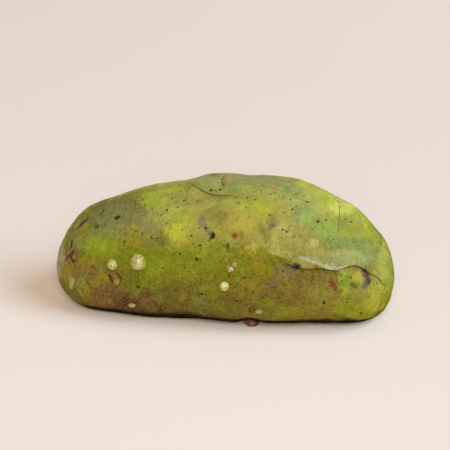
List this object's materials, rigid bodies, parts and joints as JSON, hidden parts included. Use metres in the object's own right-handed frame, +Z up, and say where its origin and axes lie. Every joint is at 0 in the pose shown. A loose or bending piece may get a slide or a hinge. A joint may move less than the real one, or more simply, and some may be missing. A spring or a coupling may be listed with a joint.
{
  "type": "pistachio kernel",
  "caption": "Shelled pistachio kernel with a folded blunt end over its root tip, a creased crown, beads of dried sap and a stalk scar.",
  "frame": {"origin": "on the surface that the kernel lies on, below the middle of its bounding box", "axes": "+Z up, +X along the kernel to its blunt end with the fold, -Y to the side with the fold and the beads"},
  "size_m": [0.018, 0.0085, 0.0075],
  "materials": {
    "kernel_skin": "satin yellow-green seed skin, mottled with purple-brown and olive, with dark specks"
  },
  "bodies": {
    "root": {"pistachio_kernel": "kernel_skin"}
  },
  "joints": []
}
